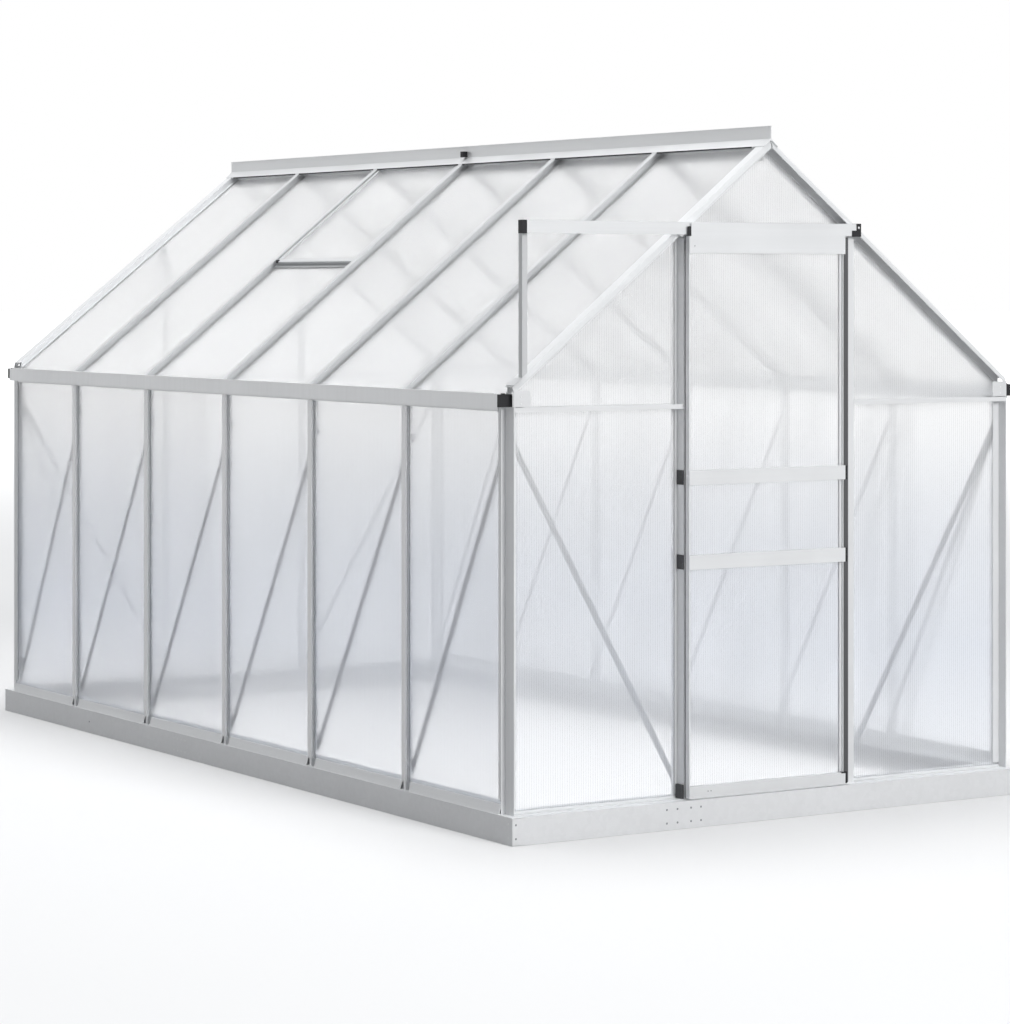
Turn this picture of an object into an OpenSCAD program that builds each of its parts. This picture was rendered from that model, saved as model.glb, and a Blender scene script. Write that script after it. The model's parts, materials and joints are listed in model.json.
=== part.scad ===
// Walk-in greenhouse of aluminium bars and twin-wall sheets on a folded steel base,
// with a sliding door in the front gable and one roof window in the left slope.
// X runs across the gables, Y runs from the front gable (-Y) to the rear one, Z is up.
// The origin lies on the ground at the middle of the plan.

/* [House] */
// Distance between the centre lines of neighbouring side studs
bay = 610; // [560:5:660]
// Number of bays along each side
bays = 6; // [4:2:8]
// Width over the base channels
base_w = 1936; // [1860:4:2100]
// Height of the side walls, from the ground to the underside of the gutter
eave_h = 1290; // [1200:5:1500]
// Height of the line where the outer faces of the roof bars would meet
apex_h = 2100; // [1990:5:2210]

/* [Steel base] */
// Height of the base channel
base_h = 83; // [70:1:110]
// Thickness of the folded sheet
base_t = 1.5; // [1.2:0.1:2.5]
// Width of the channel's flanges
base_flange = 40; // [34:1:50]
// How far the base stands out past each gable frame
base_over = 26; // [26:1:40]
// Length of a splice plate inside the base
splice_l = 150; // [120:5:200]

/* [Bars] */
// Width of the outer head of a bar
bar_w = 26; // [22:1:32]
// Wall thickness of the extrusions
ext_t = 2; // [1.6:0.1:2.6]
// Height of the studs above the side sheets
stud_rise = 12; // [10:1:14]
// Height of the roof bars above the roof sheets
roof_rise = 20; // [16:1:24]
// Depth of the inner stem of a bar
stem = 13; // [10:1:16]

/* [Gable frames] */
// Inset of the gable frame from the side faces of the base
gable_inset = 24; // [22:1:30]
// How far the front of a gable frame lies inside the end studs' spacing
gable_set = 4; // [3:1:8]
// Depth of the corner posts and gable rafters
post_depth = 50; // [48:1:58]
// How far the gable sheets lie behind the front of the frame
recess = 36; // [32:1:38]
// Height and depth of the sloping front edge of a gable rafter
rafter_edge = [13, 8];
// Height of the gusset where a rafter meets its corner post
gusset_h = 48; // [40:1:56]
// Width of the flange in front of the gable sheets
bead_w = 28; // [22:1:32]
// Height of the front face of a gable bar
gable_bar_h = 14; // [12:1:18]
// Height of the gable sill's front edge above the base
gable_lip = 8; // [6:1:14]

/* [Sheets] */
// Thickness of the twin-wall sheets
sheet_t = 4; // [4:0.5:4.5]
// Height of the sill's sloping face
sill_h = 30; // [24:1:36]

/* [Gutter] */
// How far the gutter stands out past the base
gutter_out = 11; // [9:1:20]
// Width of the gutter
gutter_w = 43; // [41:1:46]
// Height of the gutter's outer wall above the wall's top
gutter_h = 38; // [36:1:40]
// Depth of the drip edge below the gutter
drip = 8; // [4:1:12]
// Distance from the gable frame's front to the end of a gutter cap
gutter_back = 25; // [22:1:30]
// Length of a gutter cap
cap_l = 16; // [12:1:24]

/* [Ridge] */
// Height of the ridge fin above the roof's apex
fin_h = 45; // [36:1:60]
// Width of each sloping wing of the ridge
wing_w = 26; // [20:1:34]

/* [Roof window] */
// Length of the window along the slope
vent_l = 567; // [500:1:600]
// Width of the window's frame bars
vent_bar = 16; // [12:1:20]
// Gap between the window and the roof bars beside it
vent_gap = 6; // [5:0.5:8]

/* [Doorway] */
// Clear width between the lips of the door posts
door_w = 606; // [600:1:620]
// Width of a door post's front lip
door_lip = 23; // [18:1:28]
// Distance of the doorway's middle from the middle of the gable
door_mid = -7; // [-12:1:0]

/* [Sliding door] */
// Width of the door leaf
leaf_w = 596; // [580:1:606]
// Distance of the closed leaf's middle from the doorway's middle
leaf_shift = -27; // [-30:1:-22]
// Thickness of the leaf
leaf_t = 20; // [16:1:20]
// Gap between the leaf and the gable frame behind it
leaf_gap = 9; // [9:0.5:10]
// Gap under the leaf
leaf_lift = 5; // [5:0.5:8]
// How far the rails stand out past the right stile
leaf_over = 6; // [4:1:9]
// Distance the door slides
travel = 570; // [540:5:580]
// Height of the two middle rails
mid_rail = 44; // [36:1:50]
// Height of the lower middle rail above the ground
rail_low = 784; // [700:2:820]
// Height of the upper middle rail above the ground
rail_high = 1042; // [980:2:1100]
// Height of the bottom rail
bottom_rail = 36; // [30:1:44]
// Height of the header rail
header_rail = 52; // [44:1:60]

/* [Door track] */
// Height of the track
track_h = 38; // [34:1:44]
// Depth of the track's underside below the roof's outer plane at the left door post
track_drop = 31; // [28:1:34]
// Depth of the track from front to back
track_d = 21.5; // [20:0.5:21.5]
// Width of the strut under the track's free end
strut_w = 18; // [14:1:24]

/* [Braces] */
// Width of the flat diagonal braces
brace_w = 20; // [16:1:26]
// Thickness of the flat braces
brace_t = 1.5; // [1.2:0.1:2.5]

/* [Hidden] */

fit = 0.3;                  // running clearance between a sheet or bar and its seat
eps = 1;                    // overshoot of a cutting solid
frame_l = bay * bays;
base_l = frame_l + 2 * base_over;
half_w = base_w / 2;
half_l = frame_l / 2;
half_base = base_l / 2;

// Side walls: the studs' heads are flush with the base
side_out = half_w - stud_rise;      // outer face of the side sheets
side_in = side_out - sheet_t;
stem_x = side_in - fit - ext_t - stem;  // inner end of the studs' stems
stud_top = eave_h - 14;
sill_top = base_h + sill_h;
sheet_z = sill_top + fit;           // lower edge of the wall sheets

// Gable frames
gable_x = half_w - gable_inset;     // outer side face of the corner posts
gable_y = half_l - gable_set;       // front of the gable frame
gable_out = gable_y - recess;       // outer face of the gable sheets
gable_in = gable_out - sheet_t;
web_t = 3;                          // thickness of the corner post's web
seat_front = recess - fit - ext_t;  // front and back of the sheet groove, from the frame's front
seat_back = recess + sheet_t + fit;
seat_end = seat_back + ext_t;
rear_flange = 18;                   // width of the flanges behind the sheets
post_end = gable_y - post_depth;    // back of the gable frame, where the side sheets begin
gable_z = base_h + ext_t + fit;     // lower edge of the gable sheets
flange_z = base_h + gable_lip + 7;  // foot of the posts' flanges, above the gable sill
gable_bar_z = eave_h - gable_bar_h - 2;

// Roof slope
run = half_w - 27;
pitch = atan((apex_h - eave_h - 63) / run);
roof_seat = roof_rise + sheet_t + fit;
bar_depth = roof_seat + ext_t + stem;
gutter_x = half_w + gutter_out;
gutter_inner = gutter_x - gutter_w;
cap_end = half_l - gutter_back;
gutter_end = cap_end - cap_l;
roof_end = gutter_x - 8;
pane_end = gutter_x - 14;
ridge_t = 3;
ridge_end = gable_y - 4;
slope_l = (half_w + 60) / cos(pitch);   // longer than the slope, before the ends are cut
ridge_core = gable_in - 5;

// Door and track
post_half = door_w / 2 + door_lip;
post_x0 = door_mid - post_half;     // outer faces of the door posts
post_x1 = door_mid + post_half;
track_z = apex_h + tan(pitch) * post_x0 - track_drop;
lintel_z = track_z - 12;
leaf_back = gable_y + leaf_gap;
leaf_front = leaf_back + leaf_t;
leaf_x0 = door_mid + leaf_shift - leaf_w / 2;
leaf_x1 = leaf_x0 + leaf_w;
leaf_z = base_h + leaf_lift;
leaf_top = track_z - leaf_lift;
track_back = gable_y + fit;
track_front = track_back + track_d;
track_mid = (track_front + track_back) / 2;
track_cap = 17;
track_x0 = leaf_x0 - travel - track_cap - 10;
track_x1 = post_x1;
groove = sheet_t + 2 * fit;
pane_y = leaf_back + ext_t + fit + sheet_t / 2 + 1;
stile_lip = 10;                     // width of the stiles' flanges beside the panes
header_notch = 7;                   // room for the block at the header's left end
seal_t = 3.8;
wheel_r = 11;
wheel_w = 7;

// Height of the roof bars' outer plane at a distance from the middle
function roof_z(x) = apex_h - tan(pitch) * abs(x);
function below(n) = n / cos(pitch);
function stud_y(k) = k * bay - half_l;

module mirror_x(s) {
    if (s < 0) mirror([1, 0, 0]) children();
    else children();
}

module mirror_y(s) {
    if (s < 0) mirror([0, 1, 0]) children();
    else children();
}

// A box given by two opposite corners
module block(a, b) {
    translate([min(a[0], b[0]), min(a[1], b[1]), min(a[2], b[2])])
        cube([abs(b[0] - a[0]), abs(b[1] - a[1]), abs(b[2] - a[2])]);
}

// A rectangle given by two opposite corners
module rect(x0, y0, x1, y1) {
    translate([x0, y0]) square([x1 - x0, y1 - y0]);
}

// Extrudes an outline drawn in X and Z along Y, between two values of Y
module along_y(y0, y1) {
    translate([0, y1, 0]) rotate([90, 0, 0]) linear_extrude(y1 - y0) children();
}

// Extrudes an outline drawn in Y and Z along X, between two values of X
module along_x(x0, x1) {
    translate([x0, 0, 0]) rotate([90, 0, 90]) linear_extrude(x1 - x0) children();
}

// Right-hand slope: X runs down the slope from the apex, Z is the slope's normal
module slope() {
    translate([0, 0, apex_h]) rotate([0, pitch, 0]) children();
}

// Glazing bar: a wide head, a neck, a pair of sheet grooves and an inner stem.
// X runs across the bar and Y outwards, from the outer face of the sheets.
module bar_head(rise) {
    rect(-bar_w / 2, rise - 2 * ext_t, bar_w / 2, rise);
    rect(-bar_w / 4, fit, bar_w / 4, rise - ext_t);
    rect(-bar_w / 2, fit, bar_w / 2, fit + ext_t * 0.75);
}

module bar_core() {
    rect(-ext_t * 0.6, -sheet_t - fit - ext_t, ext_t * 0.6, fit + ext_t * 0.5);
    rect(-bar_w / 2, -sheet_t - fit - ext_t, bar_w / 2, -sheet_t - fit);
}

module bar_stem() {
    rect(-ext_t * 0.75, -sheet_t - fit - ext_t - stem, ext_t * 0.75, -sheet_t - fit - ext_t / 2);
    rect(-ext_t * 2, -sheet_t - fit - ext_t - stem, ext_t * 2, -sheet_t - fit - stem);
}

// ---- steel base ----

// Channel with its web outside; X is measured inwards from the web's outer face
module base_channel() {
    rect(0, 0, base_t, base_h);
    rect(0, 0, base_flange, base_t);
    rect(0, base_h - base_t, base_flange, base_h);
}

// Folded edges of the channel's flanges
module base_returns() {
    rect(base_flange - base_t, base_h - 10, base_flange, base_h);
    rect(base_flange - base_t, 0, base_flange, 10);
}

module base_sides() {
    clear = half_base - base_t - fit;
    color("silver")
    for (s = [-1, 1]) mirror_x(s)
        translate([half_w, 0, 0]) mirror([1, 0, 0]) {
            along_y(-half_base, half_base) base_channel();
            along_y(-clear, clear) base_returns();
        }
}

module base_end() {
    reach = half_w - base_flange - fit;
    inner = half_w - base_t - fit;
    translate([0, -half_base, 0]) {
        along_x(-reach, reach) base_channel();
        along_x(-reach, reach) base_returns();
        along_x(-inner, inner) rect(0, base_t + 1, base_t, base_h - base_t - 1);
    }
}

module base_ends() {
    color("silver") for (s = [-1, 1]) mirror_y(-s) base_end();
}

// Angle brackets inside the corners and flat plates inside the long joints
module base_joint_plates() {
    z0 = base_t + 2;
    z1 = base_h - base_t - 2;
    leg = base_flange - base_t - 4;
    x0 = half_w - base_t - fit;
    y0 = half_base - base_t - fit;
    color("gray") {
        for (sx = [-1, 1], sy = [-1, 1]) mirror_x(sx) mirror_y(sy) {
            block([x0, y0 - 2, z0], [x0 - leg, y0 - 2 - base_t, z1]);
            block([x0, y0 - 2, z0], [x0 - base_t, y0 - leg, z1]);
        }
        for (s = [-1, 1]) {
            mirror_x(s) block([x0, -splice_l / 2, z0], [x0 - base_t, splice_l / 2, z1]);
            mirror_y(s) block([-splice_l / 2, y0, z0], [splice_l / 2, y0 - base_t, z1]);
        }
    }
}

// ---- sills ----

// X is measured outwards from the inner face of the sheets, Y upwards from the base
module sill_section(reach) {
    difference() {
        union() {
            polygon([[-9, 0], [reach, 0], [sheet_t + 1.5, sill_h], [-fit, sill_h],
                [-fit, sill_h + 12], [-fit - ext_t, sill_h + 12], [-fit - ext_t, ext_t], [-9, ext_t]]);
        }
        polygon([[0, ext_t], [reach - ext_t - 1, ext_t], [sheet_t, sill_h - ext_t], [0, sill_h - ext_t]]);
    }
}

module side_sill() {
    reach = half_w - side_in - ext_t;
    end = post_end - fit;
    difference() {
        translate([side_in, 0, base_h]) along_y(-end, end) sill_section(reach);
        for (k = [1 : bays - 1])
            block([side_in - fit / 2, stud_y(k) - bar_w, base_h + ext_t],
                [half_w + eps, stud_y(k) + bar_w, sill_top + 20]);
    }
}

module sill_left() {
    color("gainsboro") mirror([1, 0, 0]) side_sill();
}

module sill_right() {
    color("gainsboro") side_sill();
}

// Low sill of the front gable; Y is measured backwards from the frame's front
module gable_sill(x0, x1) {
    translate([0, -gable_y, base_h]) along_x(x0, x1) {
        rect(0, 0, seat_end, ext_t);
        rect(seat_front, 0, seat_front + ext_t, gable_lip);
        rect(seat_back, 0, seat_end, gable_lip + 6);
    }
}

module sill_front() {
    end = gable_x - web_t - fit;
    color("gainsboro") {
        gable_sill(-end, post_x0 - fit);
        gable_sill(post_x1 + fit, end);
    }
}

module sill_rear() {
    end = gable_x - web_t - fit;
    color("gainsboro") mirror([0, 1, 0]) gable_sill(-end, end);
}

// ---- corner posts, door posts and rear posts ----

// X runs inwards from the side face and Y backwards from the frame's front
module corner_web() {
    step = side_out + fit + ext_t - gable_x;
    rect(0, 0, web_t, post_depth);
    rect(-step, post_depth - ext_t, web_t, post_depth);
}

// Flanges in front of and behind the gable sheets
module corner_flanges() {
    rect(0, seat_front, bead_w, seat_front + ext_t);
    rect(0, seat_back, web_t + rear_flange, seat_end);
}

// Flanges outside and inside the side sheets, and a lug for the braces
module corner_side_flanges() {
    lug = gable_x - stem_x;
    inner = gable_x - side_in + fit;
    step = side_out + fit + ext_t - gable_x;
    rect(-step, post_depth - ext_t, ext_t - step, post_depth + 13);
    rect(inner, post_depth - ext_t, inner + ext_t, post_depth + 18);
    rect(0, post_depth - ext_t, lug, post_depth);
    rect(lug - ext_t, post_depth - ext_t, lug, post_depth + 22);
}

// The corner post of the front gable's right end
module corner_post() {
    side_z = sill_top + 13;
    translate([gable_x, -gable_y, 0]) mirror([1, 0, 0]) {
        translate([0, 0, base_h]) linear_extrude(eave_h - base_h) corner_web();
        translate([0, 0, flange_z]) linear_extrude(eave_h - flange_z) corner_flanges();
        translate([0, 0, side_z]) linear_extrude(eave_h - side_z) corner_side_flanges();
    }
}

module corner_posts_front() {
    color("whitesmoke") for (s = [-1, 1]) mirror_x(s) corner_post();
}

module corner_posts_rear() {
    color("whitesmoke") mirror([0, 1, 0]) for (s = [-1, 1]) mirror_x(s) corner_post();
}

module door_posts() {
    color("whitesmoke")
    translate([door_mid, -gable_y, 0]) for (s = [-1, 1]) mirror_x(s)
        translate([post_half, 0, 0]) mirror([1, 0, 0]) {
            translate([0, 0, base_h]) linear_extrude(lintel_z - base_h) {
                rect(0, 0, ext_t, seat_end);
                rect(0, 0, door_lip, ext_t);
            }
            translate([0, 0, flange_z]) linear_extrude(lintel_z - flange_z) {
                rect(-10, seat_front, eps, seat_front + ext_t);
                rect(-rear_flange, seat_back, eps, seat_end);
            }
        }
}

module rear_posts() {
    top = roof_z(bay / 2) - below(26) - bar_w;
    color("whitesmoke")
    for (s = [-1, 1]) translate([s * bay / 2, gable_out, 0]) {
        translate([0, 0, flange_z]) linear_extrude(top - flange_z) {
            bar_head(stud_rise);
            bar_core();
            bar_stem();
        }
    }
}

// ---- side studs ----

module side_studs() {
    for (k = [1 : bays - 1]) translate([side_out, stud_y(k), 0]) rotate([0, 0, -90]) {
        translate([0, 0, sill_top - 1]) linear_extrude(stud_top - sill_top + 1) bar_head(stud_rise);
        translate([0, 0, sill_top + 13]) linear_extrude(stud_top - sill_top - 13) {
            bar_core();
            bar_stem();
        }
        translate([-bar_w / 4, -sheet_t, base_h + ext_t])
            cube([bar_w / 2, sheet_t + stud_rise - 2 * ext_t, sill_h - ext_t]);
    }
}

module left_studs() {
    color("whitesmoke") mirror([1, 0, 0]) side_studs();
}

module right_studs() {
    color("whitesmoke") side_studs();
}

// ---- gutters ----

// X outwards and Y upwards, in the frame of the house
module gutter_section() {
    rect(gutter_x - ext_t, eave_h - drip, gutter_x, eave_h + gutter_h);
    rect(gutter_inner, eave_h, gutter_x, eave_h + ext_t);
    rect(gutter_inner, eave_h, gutter_inner + ext_t, roof_z(gutter_inner + ext_t) - below(roof_seat + ext_t) - fit);
    rect(side_out + fit, stud_top, side_out + fit + ext_t, eave_h + 1);
    rect(side_in - fit - ext_t, stud_top, side_in - fit, eave_h + 1);
}

module gutter() {
    end = post_end - fit;
    difference() {
        along_y(-gutter_end, gutter_end) gutter_section();
        for (s = [-1, 1]) mirror_y(s)
            block([gutter_inner - eps, end, 0], [gutter_x - ext_t, half_l, eave_h]);
        for (s = [-1, 1]) mirror_y(s)
            block([side_in - 10, end - 19, 0], [side_out + 10, end + eps, eave_h]);
    }
}

module gutter_left() {
    color("lightgray") mirror([1, 0, 0]) gutter();
}

module gutter_right() {
    color("lightgray") gutter();
}

module gutter_caps() {
    color([0.09, 0.09, 0.1])
    for (sx = [-1, 1], sy = [-1, 1]) mirror_x(sx) mirror_y(sy) {
        block([gutter_inner, gutter_end, eave_h], [gutter_x, cap_end, eave_h + gutter_h]);
        block([gutter_inner + ext_t + fit, gutter_end - 10, eave_h + ext_t + fit],
            [gutter_x - ext_t - fit, gutter_end + eps, eave_h + gutter_h - 6]);
        translate([gutter_x - 19, gutter_end + 2, eave_h + gutter_h - eps]) cube([8, cap_l - 4, 3 + eps]);
    }
}

// ---- gable rafters and bars ----

// X runs backwards from the frame's front and Y along the slope's normal, outwards
module rafter_cover() {
    h = rafter_edge[0];
    d = rafter_edge[1];
    rect(d, -ext_t, post_depth, 0);
    polygon([[d, 0], [0, -h], [0, -h - 5], [ext_t, -h - 5], [ext_t, -h - 1], [d + 1, -ext_t]]);
}

module rafter_flanges() {
    rect(seat_front, 4 - bead_w, seat_front + ext_t, -ext_t / 2);
    rect(seat_back, -20, seat_end, -ext_t / 2);
    rect(post_depth - ext_t, -roof_seat - ext_t, post_depth, -ext_t / 2);
    rect(post_depth - ext_t, -roof_rise + fit, post_depth + 13, -roof_rise + fit + ext_t);
    rect(post_depth - ext_t, -roof_seat - ext_t, post_depth + 18, -roof_seat);
}

// Lays an outline along the right-hand slope of the front gable, from the ridge to x1
module rafter_run(x1) {
    intersection() {
        slope() translate([-60, -gable_y, 0]) rotate([90, 0, 90]) linear_extrude(slope_l) children();
        block([ridge_t / 2 + fit, -half_l, eave_h + ext_t + 1], [x1, half_l, apex_h + 10]);
    }
}

// Rafter of the front gable over the right-hand slope, with its gusset at the eave
module gable_rafter() {
    gusset_x = gable_x - 58;
    foot_z = roof_z(gable_x) - below(rafter_edge[0] + 2);
    rafter_run(gable_x) rafter_cover();
    rafter_run(gutter_inner - fit) rafter_flanges();
    along_y(-gable_y, -gable_y + ext_t)
        polygon([[gable_x, eave_h + fit], [gable_x, foot_z], [gable_x - 12, eave_h + gusset_h],
            [gusset_x, eave_h + gusset_h], [gusset_x, eave_h + fit]]);
}

module gable_rafters_front() {
    color("whitesmoke") for (s = [-1, 1]) mirror_x(s) gable_rafter();
}

module gable_rafters_rear() {
    color("whitesmoke") mirror([0, 1, 0]) for (s = [-1, 1]) mirror_x(s) gable_rafter();
}

// Bar across a gable below the eave: its front face and shelf run from x0 to x1, the sheet
// grooves stop short of the posts' flanges by gap0 and gap1
module gable_bar(x0, x1, gap0, gap1) {
    mid = gable_bar_h / 2;
    h = gable_bar_h;
    translate([0, -gable_y, gable_bar_z]) {
        along_x(x0, x1) {
            rect(0, 0, ext_t, h);
            rect(0, mid - ext_t / 2, seat_front - fit, mid + ext_t / 2);
        }
        along_x(x0 + gap0, x1 - gap1) {
            rect(ext_t / 2, mid - ext_t / 2, seat_end, mid + ext_t / 2);
            rect(seat_front, 0, seat_front + ext_t, h);
            rect(seat_back, 0, seat_end, h + 2);
        }
    }
}

module gable_bars_front() {
    end = gable_x - web_t - fit;
    color("whitesmoke")
    for (s = [-1, 1]) mirror_x(s)
        gable_bar(post_half + s * door_mid + fit, end, rear_flange, bead_w);
}

module gable_bars_rear() {
    inner = bay / 2 - bar_w / 2 - fit;
    end = gable_x - web_t - fit;
    color("whitesmoke") mirror([0, 1, 0]) {
        gable_bar(-inner, inner, 0, 0);
        for (s = [-1, 1]) mirror_x(s) gable_bar(bay - inner, end, 0, bead_w);
    }
}

// Lintel over the doorway, with a groove for the apex sheet
module door_lintel() {
    color("whitesmoke") translate([0, -gable_y, lintel_z]) along_x(post_x0, post_x1) {
        rect(0, 0, seat_end, ext_t);
        rect(0, 0, ext_t, 16);
        rect(seat_front, 0, seat_front + ext_t, 8);
        rect(seat_back, 0, seat_end, 8);
    }
}

// ---- roof bars and ridge ----

// Lays a bar outline down the right-hand slope at a value of Y, from the ridge to x1
module roof_run(y, x1) {
    intersection() {
        slope() translate([-60, y, -roof_rise]) rotate([90, 0, 90]) linear_extrude(slope_l) children();
        block([ridge_t / 2 + fit, -half_l, 0], [x1, half_l, apex_h + 10]);
    }
}

// The head runs out over the gutter, the core and the stem end at its inner wall
module roof_bars() {
    for (k = [1 : bays - 1]) {
        roof_run(stud_y(k), roof_end) bar_head(roof_rise);
        roof_run(stud_y(k), gutter_inner + 5) bar_core();
        roof_run(stud_y(k), gutter_inner - 2) bar_stem();
    }
}

module roof_bars_left() {
    color("whitesmoke") mirror([1, 0, 0]) roof_bars();
}

module roof_bars_right() {
    color("whitesmoke") roof_bars();
}

module ridge_beam() {
    foot_w = 14;
    foot_z = apex_h - below(bar_depth) - foot_w * tan(pitch) - fit;
    rise = below(fit);
    drop = wing_w * tan(pitch);
    color("lightgray") {
        along_y(-ridge_end, ridge_end) {
            rect(-ridge_t / 2, apex_h - 2, ridge_t / 2, apex_h + fin_h);
            rect(-ridge_t, apex_h + fin_h - 3, ridge_t, apex_h + fin_h);
            for (s = [-1, 1])
                polygon([[0, apex_h + rise], [s * wing_w, apex_h + rise - drop],
                    [s * wing_w, apex_h + rise + ext_t - drop], [s * ridge_t, apex_h + rise + ext_t + 1],
                    [0, apex_h + rise + ext_t + 4]]);
        }
        along_y(-ridge_core, ridge_core) {
            rect(-ridge_t / 2, foot_z, ridge_t / 2, apex_h);
            rect(-foot_w, foot_z - ext_t, foot_w, foot_z);
        }
    }
}

// ---- roof window ----

vent_y0 = bar_w / 2 + vent_gap;
vent_y1 = bay - bar_w / 2 - vent_gap;
vent_s0 = (ridge_t / 2 + fit) / cos(pitch) + (roof_rise - 3) * tan(pitch) + fit;
vent_s1 = vent_s0 + vent_l;

module vent_bar_section() {
    rect(0, -roof_rise + 3, vent_bar, -4);
}

module vent_frame() {
    color("whitesmoke") mirror([1, 0, 0]) slope() {
        for (s = [vent_s0, vent_s1 - vent_bar])
            block([s, vent_y0, -roof_rise + 3], [s + vent_bar, vent_y1, -4]);
        for (y = [vent_y0, vent_y1 - vent_bar])
            block([vent_s0 + vent_bar + fit, y, -roof_rise + 3], [vent_s1 - vent_bar - fit, y + vent_bar, -4]);
    }
}

module vent_pane() {
    color([0.9, 0.93, 0.95, 0.6]) mirror([1, 0, 0]) slope()
        block([vent_s0 + vent_bar + fit, vent_y0 + vent_bar + fit, -roof_rise + 6],
            [vent_s1 - vent_bar - fit, vent_y1 - vent_bar - fit, -roof_rise + 6 + sheet_t]);
}

// Fixed bar under the window's lower edge, which holds the top of the sheet below it
module vent_crossbar() {
    color("whitesmoke") mirror([1, 0, 0]) slope() along_y(bar_w / 2 + fit, bay - bar_w / 2 - fit) {
        rect(vent_s1 - vent_bar, -roof_rise + fit, vent_s1 + 14, -roof_rise + fit + ext_t);
        rect(vent_s1 + 1, -roof_seat - ext_t, vent_s1 + 1 + ext_t, -roof_rise + fit + ext_t);
        rect(vent_s1 + 1, -roof_seat - ext_t, vent_s1 + 16, -roof_seat);
    }
}

// Plastic end cap of the window's hinge, at the ridge over the middle roof bar
module vent_hinge_cap() {
    color([0.09, 0.09, 0.1]) mirror([1, 0, 0])
        block([ridge_t / 2 + fit, -9, apex_h + 6], [20, 9, apex_h + 26]);
}

// ---- sheets ----

module wall_panes() {
    for (k = [0 : bays - 1]) {
        y0 = k == 0 ? fit - post_end : stud_y(k) + ext_t;
        y1 = k == bays - 1 ? post_end - fit : stud_y(k + 1) - ext_t;
        block([side_in, y0, sheet_z], [side_out, y1, eave_h - fit]);
    }
}

module wall_panes_left() {
    color([0.9, 0.93, 0.95, 0.6]) mirror([1, 0, 0]) wall_panes();
}

module wall_panes_right() {
    color([0.9, 0.93, 0.95, 0.6]) wall_panes();
}

// Roof sheets; the bay whose lower left corner holds the window starts further down
module roof_panes(vent_bay) {
    intersection() {
        slope() for (k = [0 : bays - 1]) {
            y0 = k == 0 ? fit - post_end : stud_y(k) + ext_t;
            y1 = k == bays - 1 ? post_end - fit : stud_y(k + 1) - ext_t;
            s0 = k == vent_bay ? vent_s1 + 1 + ext_t + fit : 0;
            block([s0, y0, -roof_rise - sheet_t], [slope_l, y1, -roof_rise]);
        }
        block([ridge_t / 2 + fit, -half_l, 0], [pane_end, half_l, apex_h]);
    }
}

module roof_panes_left() {
    color([0.9, 0.93, 0.95, 0.6]) mirror([1, 0, 0]) roof_panes(bays / 2);
}

module roof_panes_right() {
    color([0.9, 0.93, 0.95, 0.6]) roof_panes(-1);
}

module gable_sheet(points) {
    along_y(-gable_out, -gable_in) polygon(points);
}

// Sheets of the right half of a gable beside x0, below and above the gable bar
module gable_side_sheets(x0) {
    mid = gable_bar_z + gable_bar_h / 2;
    x1 = gable_x - web_t - fit;
    x2 = gutter_inner - fit;
    lap = below(ext_t + fit);
    gable_sheet([[x0, gable_z], [x1, gable_z], [x1, mid - ext_t / 2 - fit], [x0, mid - ext_t / 2 - fit]]);
    gable_sheet([[x0, mid + ext_t / 2 + fit], [x2, mid + ext_t / 2 + fit],
        [x2, roof_z(x2) - lap], [x0, roof_z(x0) - lap]]);
}

module gable_panes_front() {
    lap = below(ext_t + fit);
    z0 = lintel_z + ext_t + fit;
    color([0.9, 0.93, 0.95, 0.6]) {
        for (s = [-1, 1]) mirror_x(s) gable_side_sheets(post_half + s * door_mid + fit);
        gable_sheet([[post_x0, z0], [post_x1, z0], [post_x1, roof_z(post_x1) - lap],
            [0, roof_z(0) - lap], [post_x0, roof_z(post_x0) - lap]]);
    }
}

module gable_panes_rear() {
    mid = gable_bar_z + gable_bar_h / 2;
    lap = below(ext_t + fit);
    x0 = bay / 2 - ext_t;
    color([0.9, 0.93, 0.95, 0.6]) mirror([0, 1, 0]) {
        for (s = [-1, 1]) mirror_x(s) gable_side_sheets(bay / 2 + ext_t);
        gable_sheet([[-x0, gable_z], [x0, gable_z], [x0, mid - ext_t / 2 - fit], [-x0, mid - ext_t / 2 - fit]]);
        gable_sheet([[-x0, mid + ext_t / 2 + fit], [x0, mid + ext_t / 2 + fit], [x0, roof_z(x0) - lap],
            [0, roof_z(0) - lap], [-x0, roof_z(x0) - lap]]);
    }
}

// ---- braces ----

// Flat bar in the plane of X and Z between two points, with round ends
module flat_brace(a, b, y0, y1) {
    len = norm(b - a);
    along_y(y0, y1) translate(a) rotate(atan2(b[1] - a[1], b[0] - a[0])) {
        translate([0, -brace_w / 2]) square([len, brace_w]);
        circle(d = brace_w, $fn = 48);
        translate([len, 0]) circle(d = brace_w, $fn = 48);
    }
}

module side_braces() {
    low = sill_top + 30;
    high = eave_h - 115;
    edge = post_end - 10;
    color("silver")
    for (s = [-1, 1], k = [1 : bays]) mirror_x(s) {
        foot = k == bays ? edge : stud_y(k);
        head = k == 1 ? -edge : stud_y(k - 1);
        translate([stem_x - fit, 0, 0]) rotate([0, 0, 90])
            flat_brace([foot, low], [head, high], 0, brace_t);
    }
}

module gable_braces() {
    low = base_h + 60;
    high = eave_h - 95;
    y = gable_y - seat_end - fit;
    head = gable_x - web_t - brace_w / 2 - 2;
    color("silver")
    for (t = [-1, 1], s = [-1, 1]) mirror_y(t) mirror_x(s)
        flat_brace([t > 0 ? post_half + s * door_mid + 8 : bay / 2 + 16, low], [head, high], -y, -y + brace_t);
}

// ---- door track ----

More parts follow.
